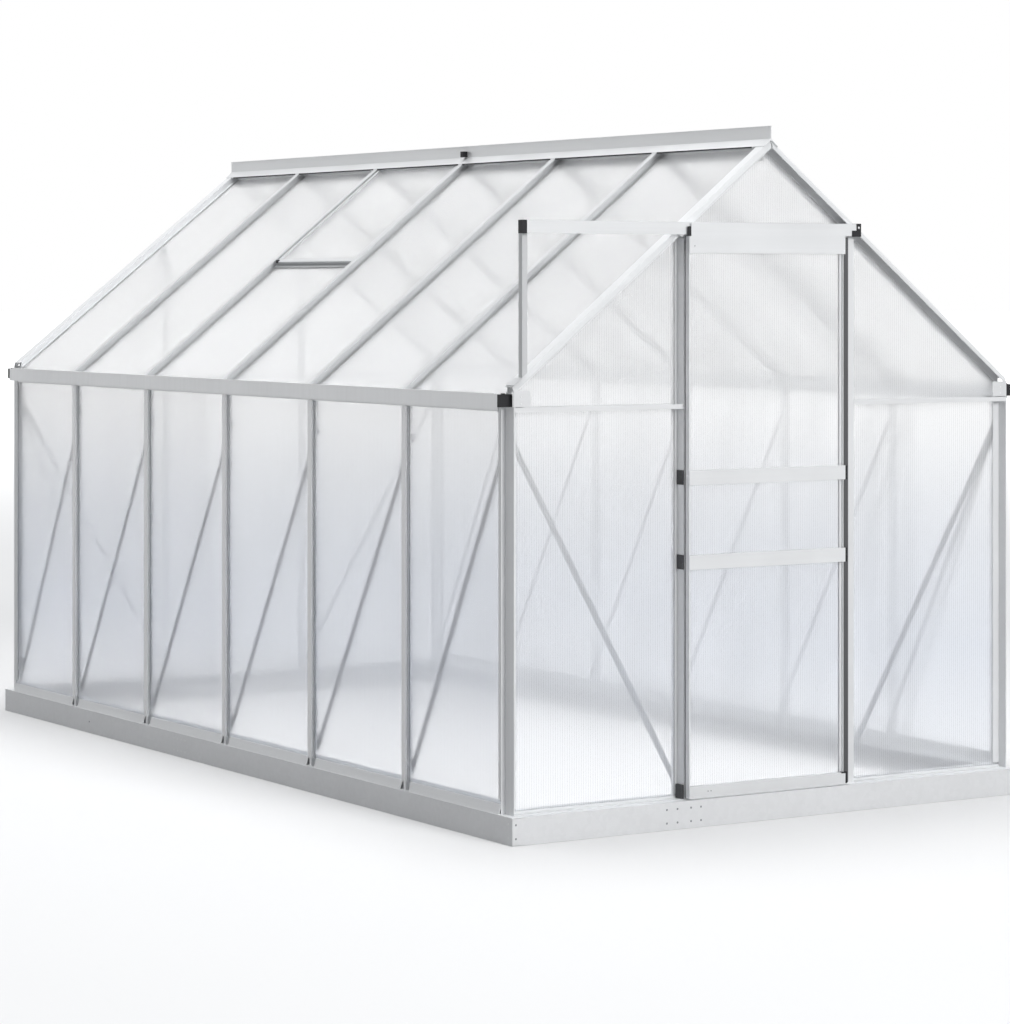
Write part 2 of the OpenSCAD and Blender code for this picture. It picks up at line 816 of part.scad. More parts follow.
// Box track, open along its underside for the roller hangers
module door_track() {
    slot = 8;
    color("whitesmoke")
    along_x(track_x0 + 3, track_x1 - 3) difference() {
        rect(-track_front, track_z, -track_back, track_z + track_h);
        rect(-track_front + ext_t, track_z + ext_t, -track_back - ext_t, track_z + track_h - ext_t);
        rect(-track_mid - slot / 2, track_z - eps, -track_mid + slot / 2, track_z + ext_t + eps);
    }
}

// Plastic ends that fit over the track
module track_end_caps() {
    skin = 1;
    y0 = -track_front - skin;
    top = track_z + track_h;
    color([0.09, 0.09, 0.1]) {
        difference() {
            block([track_x0, y0, track_z - skin], [track_x0 + track_cap, -track_back, top + skin]);
            block([track_x0 + 3 - fit, -track_front - fit / 2, track_z - fit / 2],
                [track_x0 + track_cap + eps, -track_back + eps, top + fit / 2]);
        }
        difference() {
            block([track_x1 - 6, y0, track_z - 2], [track_x1 + 12, -track_back, top + skin]);
            block([track_x1 - 6 - eps, -track_front - fit / 2, track_z - fit / 2],
                [track_x1 - 3 + fit, -track_back + eps, top + fit / 2]);
        }
        block([track_x1 - 24, y0, track_z - 2], [track_x1 - 5, -track_front - fit / 2, track_z + 17]);
    }
}

// Angle under the free end of the track, and the plate it stands on at the rafter's foot
module track_strut() {
    x0 = track_x0 + 14;
    y0 = -gable_y;
    deep = 20;
    slope_0 = (gable_x - 30) / cos(pitch);
    slope_1 = gable_x / cos(pitch) - 3;
    color("whitesmoke") {
        difference() {
            union() {
                block([x0, y0, eave_h], [x0 + ext_t, y0 + deep, track_z + 20]);
                block([x0, y0, eave_h], [x0 + strut_w, y0 + ext_t, track_z + 20]);
            }
            mirror([1, 0, 0]) slope()
                block([slope_0 - 200, -half_base, -300], [slope_1 + 200, -half_l + 90, ext_t + 2 * fit]);
        }
        mirror([1, 0, 0]) slope()
            block([slope_0, y0, fit], [slope_1, y0 + post_depth - 4, fit + ext_t]);
    }
}

// Plastic blocks on the outside of the left door post, at the rails' heights and at its foot
module door_guides() {
    y1 = -gable_y + seat_front - 1;
    color([0.09, 0.09, 0.1]) {
        for (z = [rail_low, rail_high])
            block([post_x0 - 3, -gable_y, z], [post_x0, y1, z + mid_rail]);
        block([post_x0 - 8, -gable_y, base_h + ext_t], [post_x0, y1, base_h + 45]);
    }
}

// ---- sliding door ----

// Side wall of the leaf with a groove for the panes; Y is measured backwards from the leaf's front
module stile() {
    pane_f = leaf_front - pane_y - sheet_t / 2;
    pane_b = pane_f + sheet_t;
    translate([0, 0, leaf_z]) linear_extrude(leaf_top - leaf_z) {
        rect(0, ext_t + fit, ext_t, leaf_t);
        rect(0, pane_f - fit - ext_t, stile_lip, pane_f - fit);
        rect(0, pane_b + fit, stile_lip, pane_b + fit + ext_t);
    }
}

module door_stiles() {
    color("whitesmoke") {
        translate([leaf_x0, -leaf_front, 0]) stile();
        translate([leaf_x1 - leaf_over, -leaf_front, 0]) mirror([1, 0, 0]) stile();
    }
}

// Rail whose front plate spans the leaf; its box lies between the stiles and is grooved along
// its upper and lower edges where asked
module rail(z, h, top, bottom) {
    x0 = leaf_x0 + stile_lip + fit;
    x1 = leaf_x1 - leaf_over - stile_lip - fit;
    along_x(leaf_x0, leaf_x1) rect(-leaf_front, z, -leaf_front + ext_t, z + h);
    along_x(x0, x1) difference() {
        rect(-leaf_front + ext_t / 2, z, -leaf_back, z + h);
        rect(-leaf_front + ext_t, z + 8 + ext_t, -leaf_back - ext_t, z + h - 8 - ext_t);
        if (top) rect(-pane_y - groove / 2, z + h - 8, -pane_y + groove / 2, z + h + eps);
        if (bottom) rect(-pane_y - groove / 2, z - eps, -pane_y + groove / 2, z + 8);
    }
}

// Top rail with a taller plate that covers the track
module door_header() {
    z = leaf_top - header_rail;
    color("whitesmoke") {
        rail(z, header_rail, false, true);
        along_x(leaf_x0 + header_notch, leaf_x1)
            rect(-leaf_front, leaf_top - 2, -leaf_front + ext_t, track_z + track_h - 2);
    }
}

module door_rails() {
    color("whitesmoke") {
        rail(rail_low, mid_rail, true, true);
        rail(rail_high, mid_rail, true, true);
        rail(leaf_z, bottom_rail, true, false);
    }
}

module door_panes() {
    x0 = leaf_x0 + ext_t + fit;
    x1 = leaf_x1 - leaf_over - ext_t - fit;
    lap = 8 - fit;
    color([0.9, 0.93, 0.95, 0.6])
    for (z = [[leaf_z + bottom_rail, rail_low], [rail_low + mid_rail, rail_high],
            [rail_high + mid_rail, leaf_top - header_rail]])
        block([x0, -pane_y - sheet_t / 2, z[0] - lap], [x1, -pane_y + sheet_t / 2, z[1] + lap]);
}

// Wheels in the track and the hangers that carry the leaf
module door_rollers() {
    y = -track_mid;
    color([0.09, 0.09, 0.1])
    for (x = [leaf_x0 + 70, leaf_x1 - 70]) {
        translate([x, y + wheel_w / 2, track_z + ext_t + fit + wheel_r]) rotate([90, 0, 0])
            cylinder(r = wheel_r, h = wheel_w, $fn = 64);
        block([x - 8, y - 2, leaf_top + fit], [x + 8, y + 2, track_z + ext_t + wheel_r]);
    }
}

// Plastic ends of the middle rails, on the side that closes, and the header's left end block
module door_rail_caps() {
    color([0.09, 0.09, 0.1])
    for (z = [rail_low, rail_high])
        block([leaf_x1 + fit, -leaf_front + 1, z], [leaf_x1 + 8, -leaf_back - 2, z + mid_rail]);
    color([0.09, 0.09, 0.1])
        block([leaf_x0 - 6, -leaf_front, leaf_top + fit],
            [leaf_x0 + header_notch - fit, -leaf_front + ext_t, leaf_top + 30]);
}

// Dark strips along the leaf's back edges
module door_seals() {
    color([0.12, 0.12, 0.13]) {
        block([leaf_x0, -leaf_back, leaf_z], [leaf_x0 + 6, -leaf_back + seal_t, leaf_top]);
        block([leaf_x1 - leaf_over - ext_t, -leaf_back, leaf_z],
            [leaf_x1 + 26, -leaf_back + seal_t, leaf_top]);
    }
}

base_sides();
base_ends();
base_joint_plates();
sill_front();
sill_rear();
sill_left();
sill_right();
corner_posts_front();
corner_posts_rear();
door_posts();
rear_posts();
left_studs();
right_studs();
gutter_left();
gutter_right();
gutter_caps();
gable_rafters_front();
gable_rafters_rear();
gable_bars_front();
gable_bars_rear();
door_lintel();
roof_bars_left();
roof_bars_right();
ridge_beam();
vent_frame();
vent_pane();
vent_crossbar();
vent_hinge_cap();
wall_panes_left();
wall_panes_right();
roof_panes_left();
roof_panes_right();
gable_panes_front();
gable_panes_rear();
side_braces();
gable_braces();
door_track();
track_end_caps();
track_strut();
door_guides();
door_stiles();
door_header();
door_rails();
door_panes();
door_rollers();
door_rail_caps();
door_seals();
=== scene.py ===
import itertools
import json
import math
import bpy
import bmesh
from mathutils import Matrix, Vector


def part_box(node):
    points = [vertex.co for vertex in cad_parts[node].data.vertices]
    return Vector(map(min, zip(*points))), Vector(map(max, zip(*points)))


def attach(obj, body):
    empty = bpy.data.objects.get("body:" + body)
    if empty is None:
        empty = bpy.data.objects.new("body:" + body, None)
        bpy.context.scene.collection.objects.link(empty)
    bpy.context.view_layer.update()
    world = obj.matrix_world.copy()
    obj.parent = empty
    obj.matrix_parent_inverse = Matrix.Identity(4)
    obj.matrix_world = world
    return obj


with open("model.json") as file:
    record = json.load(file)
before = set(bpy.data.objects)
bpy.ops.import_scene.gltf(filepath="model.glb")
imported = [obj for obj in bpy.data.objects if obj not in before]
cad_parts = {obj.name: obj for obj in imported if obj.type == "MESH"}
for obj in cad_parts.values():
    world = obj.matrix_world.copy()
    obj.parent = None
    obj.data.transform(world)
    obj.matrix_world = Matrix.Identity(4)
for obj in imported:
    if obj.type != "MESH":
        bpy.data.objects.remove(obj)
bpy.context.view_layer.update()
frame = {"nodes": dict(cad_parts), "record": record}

nodes = frame["nodes"]
print("greenhouse: frame loaded,", len(nodes), "nodes")


# Sets a node's inputs, by name or number, to values or links them to sockets
def feed(tree, node, inputs):
    for label, value in inputs.items():
        if hasattr(value, "is_output"):
            tree.links.new(value, node.inputs[label])
        else:
            node.inputs[label].default_value = value


def newNode(tree, kind, inputs):
    node = tree.nodes.new(kind)
    feed(tree, node, inputs)
    return node


def newMaterial(name):
    material = bpy.data.materials.new(name)
    material.use_nodes = True
    tree = material.node_tree
    tree.nodes.clear()
    shader = tree.nodes.new("ShaderNodeBsdfPrincipled")
    newNode(tree, "ShaderNodeOutputMaterial", {"Surface": shader.outputs["BSDF"]})
    coordinates = tree.nodes.new("ShaderNodeTexCoord")
    return material, tree, shader, coordinates.outputs["Object"]


def mathNode(tree, operation, first, second):
    node = newNode(tree, "ShaderNodeMath", {0: first, 1: second})
    node.operation = operation
    return node.outputs[0]


def noiseNode(tree, vector, stretch, scale, detail):
    mapping = newNode(tree, "ShaderNodeMapping", {"Vector": vector, "Scale": stretch})
    noise = newNode(tree, "ShaderNodeTexNoise", {
        "Vector": mapping.outputs["Vector"], "Scale": scale, "Detail": detail})
    return noise.outputs["Fac"]


def rampNode(tree, factor, stops):
    ramp = newNode(tree, "ShaderNodeValToRGB", {"Fac": factor})
    elements = ramp.color_ramp.elements
    while len(elements) < len(stops):
        elements.new(0.5)
    for element, (position, color) in zip(elements, stops):
        element.position = position
        element.color = (*color, 1)
    return ramp.outputs["Color"]


# Two greys, one at each end of a span of the factor
def greyRamp(tree, factor, span, greys):
    return rampNode(tree, factor, [(at, (grey,) * 3) for at, grey in zip(span, greys)])


# A tone scaled by one share at each end of a span of the factor
def toneRamp(tree, factor, span, tone, shares):
    return rampNode(tree, factor, [(at, [c * share for c in tone]) for at, share in zip(span, shares)])


def bumpNode(tree, height, strength, distance):
    bump = newNode(tree, "ShaderNodeBump", {"Strength": strength, "Distance": distance, "Height": height})
    return bump.outputs["Normal"]


def multiplyColors(tree, first, second):
    mix = tree.nodes.new("ShaderNodeMix")
    mix.data_type = "RGBA"
    mix.blend_type = "MULTIPLY"
    feed(tree, mix, {"Factor": 1.0, "A": first, "B": second})
    return mix.outputs["Result"]


even = (1, 1, 1)
midSpan = (0.3, 0.7)
fullSpan = (0.0, 1.0)

aluminiumLook = {"tone": (0.83, 0.84, 0.85), "metal": 0.08, "rough": (0.36, 0.52)}
ridgeLook = {"tone": (0.74, 0.75, 0.76), "metal": 0.5, "rough": (0.34, 0.48)}
# The gable rafters are toned a little darker than the other aluminium: painted shade
shadedRafterLook = {"tone": (0.76, 0.77, 0.78), "metal": 0.15, "rough": (0.36, 0.5)}
studLook = {"tone": (0.84, 0.85, 0.86), "metal": 0.38, "rough": (0.34, 0.48)}
# The roof bars, vent frame, vent crossbar and track strut are toned darker than the other aluminium: painted
# shade
shadedRoofLook = {"tone": (0.60, 0.61, 0.62), "metal": 0.12, "rough": (0.36, 0.5)}
# The braces are toned dark, the side ones darkest: painted shade for how they show through the sheets
shadedSideBraceLook = {"tone": (0.22, 0.225, 0.235), "metal": 0.15, "rough": (0.4, 0.55)}
shadedEndBraceLook = {"tone": (0.5, 0.51, 0.52), "metal": 0.15, "rough": (0.4, 0.55)}
guideLook = {"tone": (0.055, 0.056, 0.06), "metal": 0.0, "rough": (0.5, 0.6)}
sealLook = {"tone": (0.085, 0.086, 0.09), "metal": 0.0, "rough": (0.55, 0.65)}
# Bolt and screw heads: the dark tone is painted shade and the bright tone painted highlight where the base
# bolts get them; the bright tone also serves the other screws and the gutter beads
shadeBoltLook = {"tone": (0.30, 0.31, 0.33), "metal": 0.35, "rough": (0.35, 0.5)}
highlightZincLook = {"tone": (0.93, 0.935, 0.94), "metal": 0.1, "rough": (0.3, 0.45)}
metalGrain = {"detail": 3.0, "clouds": 5.0, "shares": (0.965, 1.0), "patchSpan": (0.25, 0.75),
              "patches": (0.96, 1.0), "bump": 0.08, "depth": 0.0004}


# Streaks run along the axis with the smallest stretch; clouds vary the tone and the roughness
def metalMaterial(name, look, stretch):
    material, tree, shader, place = newMaterial(name)
    streaks = noiseNode(tree, place, stretch, 1.0, metalGrain["detail"])
    clouds = noiseNode(tree, place, even, metalGrain["clouds"], metalGrain["detail"])
    tone = toneRamp(tree, streaks, midSpan, look["tone"], metalGrain["shares"])
    patches = greyRamp(tree, clouds, metalGrain["patchSpan"], metalGrain["patches"])
    feed(tree, shader, {
        "Base Color": multiplyColors(tree, tone, patches),
        "Metallic": look["metal"],
        "Roughness": greyRamp(tree, clouds, midSpan, look["rough"]),
        "Normal": bumpNode(tree, streaks, metalGrain["bump"], metalGrain["depth"])})
    return material


baseLook = {"tone": (0.86, 0.868, 0.88), "metal": 0.1, "rough": (0.42, 0.58), "spangle": 70.0,
            "spangleTones": (0.96, 1.0), "clouds": 4.0, "detail": 5.0, "span": (0.3, 0.72),
            "shares": (0.975, 1.0), "bump": 0.1, "depth": 0.0006}


def baseMaterial(name):
    material, tree, shader, place = newMaterial(name)
    cells = newNode(tree, "ShaderNodeTexVoronoi", {"Vector": place, "Scale": baseLook["spangle"]})
    spangle = greyRamp(tree, cells.outputs["Color"], fullSpan, baseLook["spangleTones"])
    clouds = noiseNode(tree, place, even, baseLook["clouds"], baseLook["detail"])
    tone = toneRamp(tree, clouds, baseLook["span"], baseLook["tone"], baseLook["shares"])
    feed(tree, shader, {
        "Base Color": multiplyColors(tree, tone, spangle),
        "Metallic": baseLook["metal"],
        "Roughness": greyRamp(tree, cells.outputs["Color"], fullSpan, baseLook["rough"]),
        "Normal": bumpNode(tree, clouds, baseLook["bump"], baseLook["depth"])})
    return material


# Painted shade on the sheets: the stops give a share of the height and a dimming there, darkest at about a
# third of the height and none at the top; red dims in full, green and blue less
sheetLook = {"tone": (0.989, 0.991, 0.994), "through": 0.82, "rough": 0.42, "ior": 1.12, "alpha": 0.6,
             "height": 1.3, "clouds": 2.2, "detail": 3.0, "shares": (0.97, 1.0),
             "dimming": ((0.0, 1.0), (0.15, 0.85), (0.45, 0.55))}
endPaintedShade = [(0.0, 0.935), (0.13, 0.915), (0.36, 0.87), (0.62, 0.915), (0.92, 1.0)]
sidePaintedShade = [(0.0, 0.895), (0.13, 0.88), (0.36, 0.815), (0.62, 0.87), (0.80, 0.94), (0.95, 1.0)]


def sheetMaterial(name, paintedShadeStops):
    material, tree, shader, place = newMaterial(name)
    clouds = noiseNode(tree, place, even, sheetLook["clouds"], sheetLook["detail"])
    tone = toneRamp(tree, clouds, midSpan, sheetLook["tone"], sheetLook["shares"])
    parts = newNode(tree, "ShaderNodeSeparateXYZ", {"Vector": place})
    level = mathNode(tree, "DIVIDE", parts.outputs["Z"], sheetLook["height"])
    paintedShadeRamp = rampNode(tree, level, [(at, [kept + dimmed * value for kept, dimmed in sheetLook["dimming"]])
                                  for at, value in paintedShadeStops])
    feed(tree, shader, {
        "Base Color": multiplyColors(tree, tone, paintedShadeRamp),
        "Transmission Weight": sheetLook["through"],
        "Roughness": sheetLook["rough"],
        "IOR": sheetLook["ior"],
        "Alpha": sheetLook["alpha"]})
    return material


ribLook = {"tone": (0.76, 0.775, 0.79), "rough": 0.5, "clear": 0.2, "faint": 0.07, "clouds": 3.0,
           "detail": 3.0, "shares": (0.97, 1.0)}


def ribMaterial(name, alpha):
    material, tree, shader, place = newMaterial(name)
    clouds = noiseNode(tree, place, even, ribLook["clouds"], ribLook["detail"])
    feed(tree, shader, {
        "Base Color": toneRamp(tree, clouds, midSpan, ribLook["tone"], ribLook["shares"]),
        "Roughness": ribLook["rough"],
        "Alpha": alpha})
    return material


plasticLook = {"tone": (0.010, 0.010, 0.012), "rough": (0.45, 0.6), "shine": 0.3, "grain": 900.0,
               "grainDetail": 2.0, "clouds": 20.0, "detail": 3.0, "span": (0.3, 0.8),
               "shares": (1.0, 1.7), "bump": 0.15, "depth": 0.0002}


def plasticMaterial(name):
    material, tree, shader, place = newMaterial(name)
    grain = noiseNode(tree, place, even, plasticLook["grain"], plasticLook["grainDetail"])
    clouds = noiseNode(tree, place, even, plasticLook["clouds"], plasticLook["detail"])
    feed(tree, shader, {
        "Base Color": toneRamp(tree, clouds, plasticLook["span"], plasticLook["tone"], plasticLook["shares"]),
        "Specular IOR Level": plasticLook["shine"],
        "Roughness": greyRamp(tree, clouds, midSpan, plasticLook["rough"]),
        "Normal": bumpNode(tree, grain, plasticLook["bump"], plasticLook["depth"])})
    return material


alongX = (1.2, 60, 60)
alongY = (60, 1.2, 60)
alongZ = (60, 60, 1.2)
slanted = (60, 60, 60)
plasticStretch = (300, 300, 300)
fastenerStretch = (200, 200, 200)

aluminiumUpright = metalMaterial("aluminiumUpright", aluminiumLook, alongZ)
aluminiumAlong = metalMaterial("aluminiumAlong", aluminiumLook, alongY)
aluminiumAcross = metalMaterial("aluminiumAcross", aluminiumLook, alongX)
aluminiumRidge = metalMaterial("aluminiumRidge", ridgeLook, alongY)
shadedRafterAluminium = metalMaterial("shadedRafterAluminium", shadedRafterLook, slanted)
aluminiumStud = metalMaterial("aluminiumStud", studLook, alongZ)
shadedRoofAluminium = metalMaterial("shadedRoofAluminium", shadedRoofLook, slanted)
shadedSideBraceMetal = metalMaterial("shadedSideBraceMetal", shadedSideBraceLook, slanted)
shadedEndBraceMetal = metalMaterial("shadedEndBraceMetal", shadedEndBraceLook, slanted)
greyPlastic = metalMaterial("greyPlastic", guideLook, plasticStretch)
sealRubber = metalMaterial("sealRubber", sealLook, plasticStretch)
shadeBoltSteel = metalMaterial("shadeBoltSteel", shadeBoltLook, fastenerStretch)
highlightZincSteel = metalMaterial("highlightZincSteel", highlightZincLook, fastenerStretch)
galvanisedSteel = baseMaterial("galvanisedSteel")
# The side sheets carry deeper painted shade than the end, roof and door sheets
twinWallSheet = sheetMaterial("twinWallSheet", endPaintedShade)
sideSheet = sheetMaterial("sideSheet", sidePaintedShade)
sheetRibs = ribMaterial("sheetRibs", ribLook["clear"])
sheetRibsFaint = ribMaterial("sheetRibsFaint", ribLook["faint"])
blackPlastic = plasticMaterial("blackPlastic")

slotMaterials = {"galvanised": galvanisedSteel, "twin_wall": twinWallSheet, "black_plastic": blackPlastic,
                 "aluminium": aluminiumUpright}
# Nodes that differ from their slot's material
ownMaterials = [
    (aluminiumAlong, ("sill_left", "sill_right")),
    (aluminiumAcross, ("sill_front", "sill_rear", "gable_bars_front", "gable_bars_rear", "door_lintel",
                       "door_track", "door_header", "door_rails")),
    (aluminiumStud, ("left_studs", "right_studs", "gutter_left", "gutter_right")),
    (shadedRoofAluminium, ("roof_bars_left", "roof_bars_right", "vent_frame", "vent_crossbar", "track_strut")),
    (aluminiumRidge, ("ridge_beam",)),
    (shadedRafterAluminium, ("gable_rafters_front", "gable_rafters_rear")),
    (shadedSideBraceMetal, ("side_braces",)),
    (shadedEndBraceMetal, ("gable_braces",)),
    (greyPlastic, ("door_guides",)),
    (sealRubber, ("door_seals",)),
    (sideSheet, ("wall_panes_left", "wall_panes_right"))]
materialByNode = {name: material for material, names in ownMaterials for name in names}

for part in frame["record"]["subparts"]:
    mesh = nodes[part["node"]].data
    mesh.materials.clear()
    mesh.materials.append(materialByNode.get(part["node"], slotMaterials[part["material_slot"]]))
print("materials: set on every node")


def newTree(name, sockets):
    tree = bpy.data.node_groups.new(name, "GeometryNodeTree")
    for label, kind in sockets:
        tree.interface.new_socket(name=label, in_out="INPUT", socket_type="NodeSocket" + kind)
    tree.interface.new_socket(name="Geometry", in_out="OUTPUT", socket_type="NodeSocketGeometry")
    return tree, tree.nodes.new("NodeGroupInput"), tree.nodes.new("NodeGroupOutput")


# Makes instances real and hands them out as the tree's result
def finishTree(tree, instances, result):
    real = newNode(tree, "GeometryNodeRealizeInstances", {"Geometry": instances})
    feed(tree, result, {"Geometry": real.outputs["Geometry"]})


# A row of upright ribs along X; the ribs' tops follow a line that rises by Lean for each metre
def makeRibTree():
    tree, given, result = newTree("ribRow", [
        ("Count", "Int"), ("Pitch", "Float"), ("Rib Width", "Float"), ("Rib Depth", "Float"),
        ("Height", "Float"), ("Lean", "Float")])
    step = newNode(tree, "ShaderNodeCombineXYZ", {"X": given.outputs["Pitch"]})
    row = newNode(tree, "GeometryNodeMeshLine", {
        "Count": given.outputs["Count"], "Offset": step.outputs["Vector"]})
    cube = newNode(tree, "GeometryNodeMeshCube", {"Size": (1, 1, 1)})
    lift = newNode(tree, "GeometryNodeTransform", {
        "Geometry": cube.outputs["Mesh"], "Translation": (0.5, 0, 0.5)})
    place = tree.nodes.new("GeometryNodeInputPosition")
    parts = newNode(tree, "ShaderNodeSeparateXYZ", {"Vector": place.outputs["Position"]})
    rise = mathNode(tree, "MULTIPLY", parts.outputs["X"], given.outputs["Lean"])
    size = newNode(tree, "ShaderNodeCombineXYZ", {
        "X": given.outputs["Rib Width"], "Y": given.outputs["Rib Depth"],
        "Z": mathNode(tree, "ADD", given.outputs["Height"], rise)})
    spread = newNode(tree, "GeometryNodeInstanceOnPoints", {
        "Points": row.outputs["Mesh"], "Instance": lift.outputs["Geometry"],
        "Scale": size.outputs["Vector"]})
    finishTree(tree, spread.outputs["Instances"], result)
    return tree


headSize = {"rise": 0.0007, "sink": 0.0003, "sides": 12, "taper": 0.72}


# A low round head in a grid of Columns by Rows, in the X-Z plane, facing -Y
def makeHeadTree():
    tree, given, result = newTree("headGrid", [
        ("Columns", "Int"), ("Rows", "Int"), ("Step", "Float"), ("Radius", "Float"), ("Rise", "Float"),
        ("Sides", "Int")])
    lines = []
    for count, axis in (("Columns", "X"), ("Rows", "Z")):
        step = newNode(tree, "ShaderNodeCombineXYZ", {axis: given.outputs["Step"]})
        lines.append(newNode(tree, "GeometryNodeMeshLine", {
            "Count": given.outputs[count], "Offset": step.outputs["Vector"]}))
    grid = newNode(tree, "GeometryNodeInstanceOnPoints", {
        "Points": lines[0].outputs["Mesh"], "Instance": lines[1].outputs["Mesh"]})
    flat = newNode(tree, "GeometryNodeRealizeInstances", {"Geometry": grid.outputs["Instances"]})
    head = newNode(tree, "GeometryNodeMeshCone", {
        "Vertices": given.outputs["Sides"], "Radius Bottom": given.outputs["Radius"],
        "Radius Top": mathNode(tree, "MULTIPLY", given.outputs["Radius"], headSize["taper"]),
        "Depth": given.outputs["Rise"]})
    turn = newNode(tree, "GeometryNodeTransform", {
        "Geometry": head.outputs["Mesh"], "Rotation": (math.radians(90), 0, 0)})
    spread = newNode(tree, "GeometryNodeInstanceOnPoints", {
        "Points": flat.outputs["Geometry"], "Instance": turn.outputs["Geometry"]})
    finishTree(tree, spread.outputs["Instances"], result)
    return tree


ribTree = makeRibTree()
headTree = makeHeadTree()


# Runs a tree with named inputs and returns the mesh moved by a matrix
def runTree(tree, values, matrix):
    carrier = bpy.data.objects.new("carrier", bpy.data.meshes.new("carrierMesh"))
    bpy.context.scene.collection.objects.link(carrier)
    modifier = carrier.modifiers.new("rows", "NODES")
    modifier.node_group = tree
    sockets = {item.name: item.identifier for item in tree.interface.items_tree if item.in_out == "INPUT"}
    for label, value in values.items():
        modifier[sockets[label]] = value
    carrier.update_tag()
    bpy.context.view_layer.update()
    evaluated = carrier.evaluated_get(bpy.context.evaluated_depsgraph_get())
    mesh = bpy.data.meshes.new_from_object(evaluated)
    mesh.transform(matrix)
    bpy.data.objects.remove(carrier)
    return mesh


# Joins meshes into a piece of one material that rides a body
def joinPiece(name, meshes, material, body):
    joined = bmesh.new()
    for mesh in meshes:
        joined.from_mesh(mesh)
        bpy.data.meshes.remove(mesh)
    bmesh.ops.recalc_face_normals(joined, faces=joined.faces)
    result = bpy.data.meshes.new(name)
    joined.to_mesh(result)
    joined.free()
    result.materials.append(material)
    piece = bpy.data.objects.new(name, result)
    bpy.context.scene.collection.objects.link(piece)
    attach(piece, body)


# Matrix from an origin and the directions of local X, Y and Z
def axesMatrix(origin, *axes):
    matrix = Matrix.Identity(4)
    for column, axis in enumerate((*axes, origin)):
        for line in range(3):
            matrix[line][column] = axis[line]
    return matrix


# In metres: boxes that touch, points on one line, and a peak too near an edge to split a run
tolerance = {"touch": 1e-5, "level": 1e-4, "peak": 0.01}
front, back = Vector((0, -1, 0)), Vector((0, 1, 0))
left, right = Vector((-1, 0, 0)), Vector((1, 0, 0))
up = Vector((0, 0, 1))


def boxesTouch(first, second):
    low, high, points = first
    low2, high2, points2 = second
    slack = tolerance["touch"]
    return all(low[i] <= high2[i] + slack and low2[i] <= high[i] + slack for i in range(3))


# Islands of split faces that touch are put together by their boxes
def merged(groups):
    boxes = []
    for points in groups:
        low = Vector([min(p[i] for p in points) for i in range(3)])
        high = Vector([max(p[i] for p in points) for i in range(3)])
        boxes.append((low, high, points))
    while True:
        pairs = itertools.combinations(range(len(boxes)), 2)
        pair = next((p for p in pairs if boxesTouch(boxes[p[0]], boxes[p[1]])), None)
        if pair is None:
            return boxes
        low, high, points = boxes[pair[0]]
        low2, high2, points2 = boxes.pop(pair[1])
        boxes[pair[0]] = (Vector(map(min, low, low2)), Vector(map(max, high, high2)), points + points2)


# The parts of a node that stand apart, each as its low corner, high corner and points
def islands(name):
    mesh = nodes[name].data
    parent = list(range(len(mesh.vertices)))

    def root(i):
        while parent[i] != i:
            parent[i] = parent[parent[i]]
            i = parent[i]
        return i

    for edge in mesh.edges:
        first, second = root(edge.vertices[0]), root(edge.vertices[1])
        parent[first] = second
    groups = {}
    for vertex in mesh.vertices:
        groups.setdefault(root(vertex.index), []).append(vertex.co.copy())
    return merged(groups.values())


ribRows = {"pitch": 0.0084, "width": 0.0011, "depth": 0.00015, "margin": 0.004}


# One run of ribs, half sunk in the sheet: X across, Y out of the sheet, Z along the flutes
def ribRun(origin, across, outward, upward, width, height, lean=0.0):
    count = int((width - 2 * ribRows["margin"]) / ribRows["pitch"]) + 1
    inset = (width - (count - 1) * ribRows["pitch"]) / 2
    matrix = axesMatrix(Vector(origin) + Vector(across) * inset, across, outward, upward)
    return runTree(ribTree, {
        "Count": count, "Pitch": ribRows["pitch"], "Rib Width": ribRows["width"],
        "Rib Depth": 2 * ribRows["depth"], "Height": height + lean * inset, "Lean": lean}, matrix)


def wallRibs():
    runs = []
    for name, outward in (("wall_panes_left", left), ("wall_panes_right", right)):
        for low, high, points in islands(name):
            face = low.x if outward is left else high.x
            runs.append(ribRun((face, low.y, low.z), back, outward, up, high.y - low.y, high.z - low.z))
    return runs


# Ribs on the roof start at the upper edge of each sheet's low end and run up the slope
def roofRibs():
    runs = []
    for name, side in (("roof_panes_left", -1), ("roof_panes_right", 1)):
        for low, high, points in islands(name):
            top = max(points, key=lambda p: p.z)
            lowEnd = max(abs(low.x), abs(high.x)) - tolerance["level"]
            bottom = max((p for p in points if abs(p.x) > lowEnd), key=lambda p: p.z)
            slope = Vector((top.x - bottom.x, 0, top.z - bottom.z))
            reach = slope.length
            slope.normalize()
            outward = Vector((side * slope.z, 0, abs(slope.x)))
            runs.append(ribRun((bottom.x, low.y, bottom.z), back, outward, slope, high.y - low.y, reach))
    return runs


# A gable sheet with its peak between its edges gets one run on each side of the peak
def gableRibs():
    runs = []
    for name, outward in (("gable_panes_front", front), ("gable_panes_rear", back)):
        for low, high, points in islands(name):
            face = low.y if outward is front else high.y
            peak = max(points, key=lambda p: p.z).x
            spans = [(low.x, high.x)]
            if low.x + tolerance["peak"] < peak < high.x - tolerance["peak"]:
                spans = [(low.x, peak), (peak, high.x)]
            for start, end in spans:
                tops = [max(p.z for p in points if abs(p.x - x) < tolerance["level"]) for x in (start, end)]
                runs.append(ribRun((start, face, low.z), right, outward, up, end - start,
                                   tops[0] - low.z, (tops[1] - tops[0]) / (end - start)))
    return runs


def doorRibs():
    return [ribRun(low, right, front, up, high.x - low.x, high.z - low.z)
            for low, high, points in islands("door_panes")]


